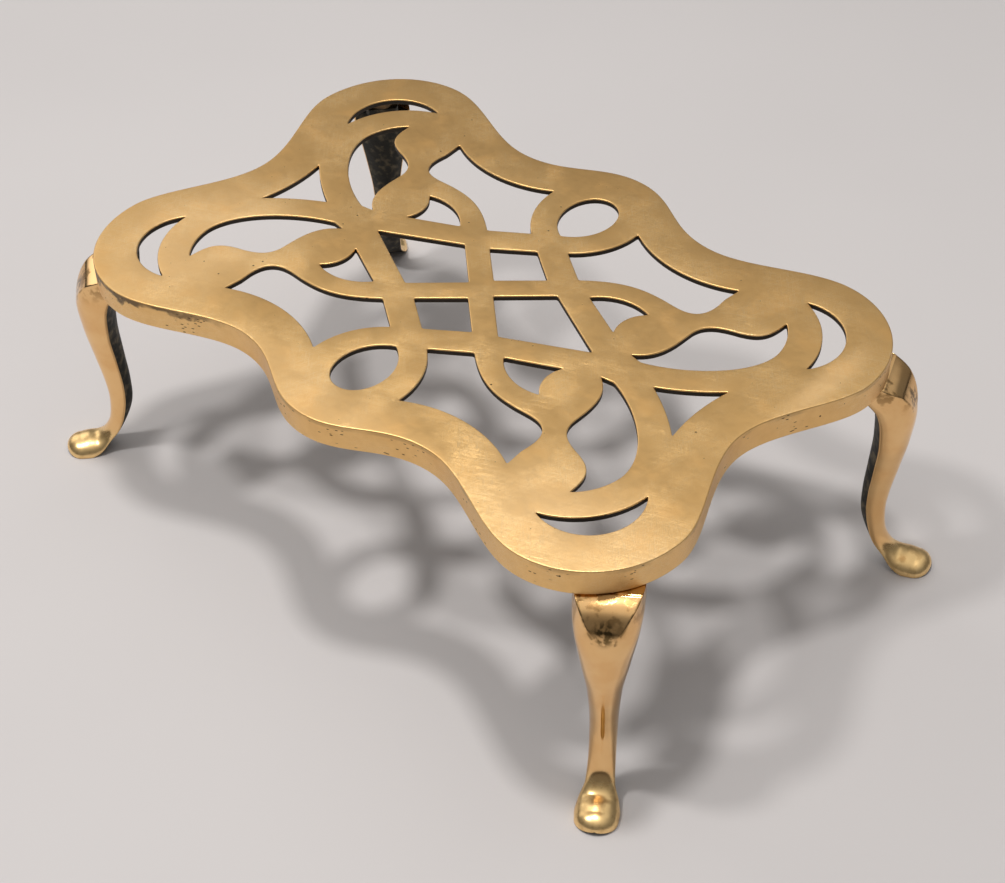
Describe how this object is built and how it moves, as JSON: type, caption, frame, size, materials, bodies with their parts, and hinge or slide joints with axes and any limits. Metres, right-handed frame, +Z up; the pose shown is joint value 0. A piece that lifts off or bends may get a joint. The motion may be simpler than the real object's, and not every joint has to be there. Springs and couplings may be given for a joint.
{
  "type": "footed pot stand",
  "caption": "Footed brass pot stand: a pierced strapwork plate with a turned-down edge, raised on screwed-on cabriole legs with rounded feet.",
  "frame": {"origin": "on the floor, under the middle of the whole stand", "axes": "+X along the stand's long side, +Y towards its back, +Z up"},
  "size_m": [0.3824, 0.2432, 0.126],
  "materials": {
    "plate_brass": "satin, lapped flat and worn, with fine scratches and small casting pits",
    "leg_brass": "polished cast brass in front, rough dark casting skin on the swelled back",
    "screw_brass": "dull turned brass with tarnish in the slot"
  },
  "bodies": {
    "root": {"top_plate": "plate_brass", "leg_front_left": "leg_brass", "leg_back_left": "leg_brass", "leg_back_right": "leg_brass", "leg_front_right": "leg_brass", "screw_front_left": "screw_brass", "screw_back_left": "screw_brass", "screw_back_right": "screw_brass", "screw_front_right": "screw_brass"}
  },
  "joints": []
}
